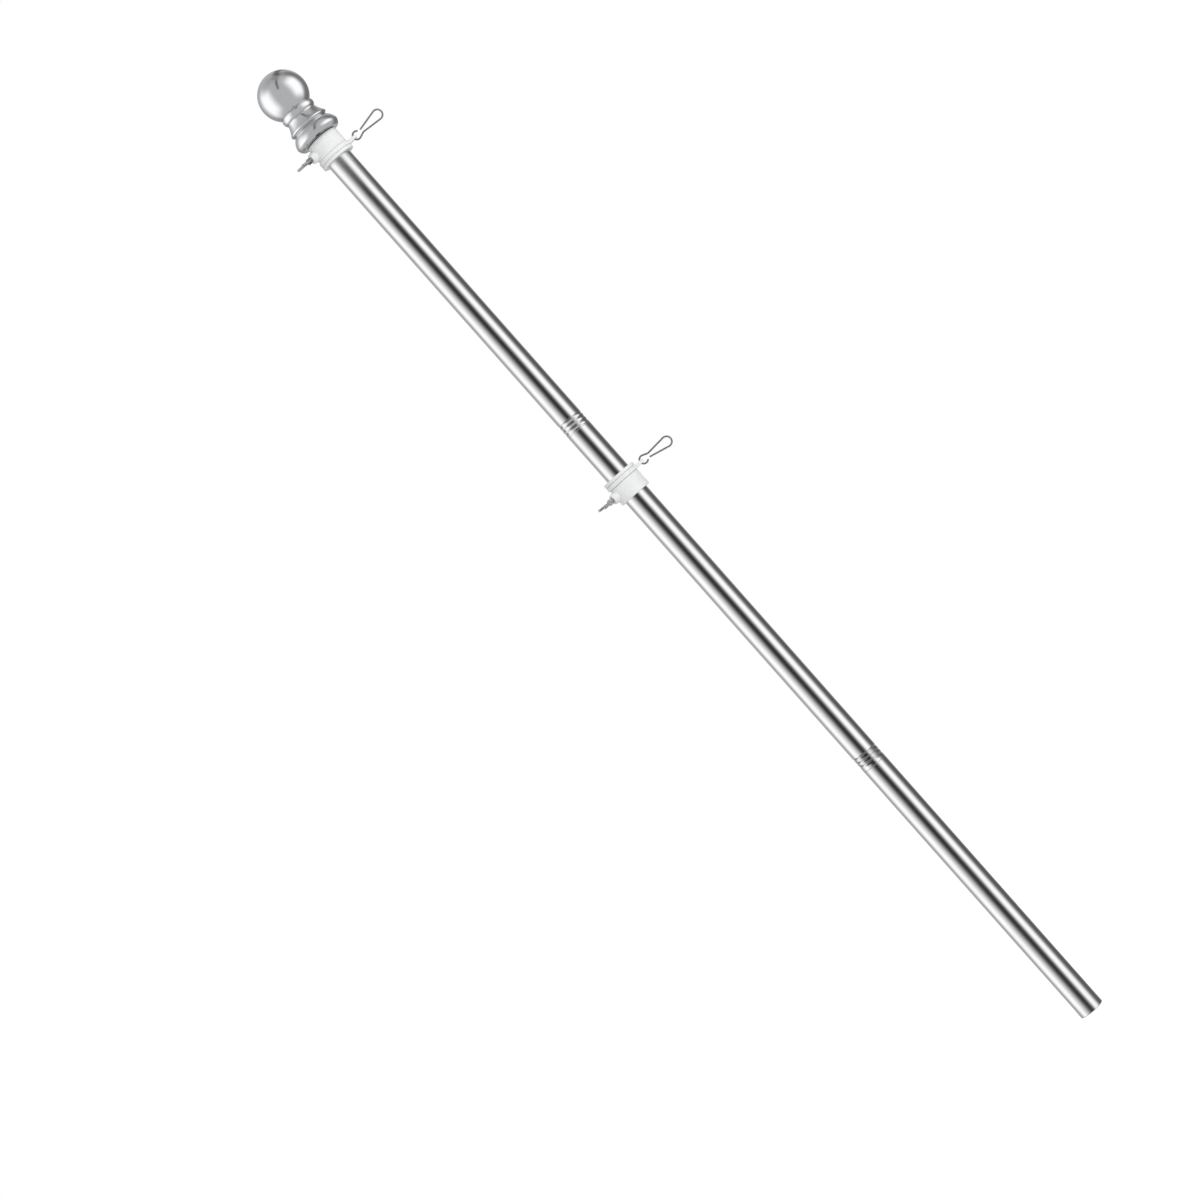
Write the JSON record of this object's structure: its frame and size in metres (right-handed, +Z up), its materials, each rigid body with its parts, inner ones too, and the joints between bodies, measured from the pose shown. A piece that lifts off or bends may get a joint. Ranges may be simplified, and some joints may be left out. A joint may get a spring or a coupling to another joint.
{
  "type": "sectional house flagpole with swivel collars",
  "caption": "Polished steel flagpole of screwed tube sections with a chromed ball finial and white swivel collars carrying wire snap clips and wing screws.",
  "frame": {"origin": "centre of the flat butt end", "axes": "+Z up the pole towards the finial, +X on the side of the snap clips"},
  "size_m": [0.0965, 0.0488, 1.1591],
  "materials": {
    "tube_steel": "polished stainless steel",
    "finial_chrome": "bright chromed",
    "collar_plastic": "white moulded nylon, slightly translucent",
    "wire_steel": "bright spring steel",
    "plug_plastic": "moulded plastic"
  },
  "bodies": {
    "pole": {"butt_plug": "plug_plastic", "lower_tube": "tube_steel", "middle_tube": "tube_steel", "upper_tube": "tube_steel", "finial_stud": "plug_plastic", "finial_ferrule": "finial_chrome", "finial_ball": "finial_chrome"},
    "upper_collar": {"upper_clamp_body": "collar_plastic", "upper_end_flange": "collar_plastic"},
    "upper_ring": {"upper_swivel_ring": "collar_plastic"},
    "upper_clip": {"upper_snap_clip": "wire_steel"},
    "upper_screw": {"upper_wing_screw": "wire_steel"},
    "lower_collar": {"lower_clamp_body": "collar_plastic", "lower_end_flange": "collar_plastic"},
    "lower_ring": {"lower_swivel_ring": "collar_plastic"},
    "lower_clip": {"lower_snap_clip": "wire_steel"},
    "lower_screw": {"lower_wing_screw": "wire_steel"}
  },
  "joints": [
    {"name": "upper_collar_slide", "type": "slide", "parent": "pole", "child": "upper_collar", "axis": [0, 0, 1], "range_m": [-0.15, 0]},
    {"name": "upper_ring_spin", "type": "hinge", "parent": "upper_collar", "child": "upper_ring", "pos_m": [0, 0, 1.06205], "axis": [0, 0, 1], "continuous": true},
    {"name": "upper_clip_tilt", "type": "hinge", "parent": "upper_ring", "child": "upper_clip", "pos_m": [0.0269, 0, 1.06205], "axis": [0, -1, 0], "range_deg": [-90, 60]},
    {"name": "upper_screw_turn", "type": "hinge", "parent": "upper_collar", "child": "upper_screw", "pos_m": [0, 0, 1.0717], "axis": [-0.9397, -0.342, 0], "range_deg": [0, 360]},
    {"name": "lower_collar_slide", "type": "slide", "parent": "pole", "child": "lower_collar", "axis": [0, 0, 1], "range_m": [-0.45, 0.15]},
    {"name": "lower_ring_spin", "type": "hinge", "parent": "lower_collar", "child": "lower_ring", "pos_m": [0, 0, 0.65935], "axis": [0, 0, 1], "continuous": true},
    {"name": "lower_clip_tilt", "type": "hinge", "parent": "lower_ring", "child": "lower_clip", "pos_m": [0.0269, 0, 0.65935], "axis": [0, -1, 0], "range_deg": [-90, 90]},
    {"name": "lower_screw_turn", "type": "hinge", "parent": "lower_collar", "child": "lower_screw", "pos_m": [0, 0, 0.6497], "axis": [-0.9397, -0.342, 0], "range_deg": [0, 360]}
  ]
}
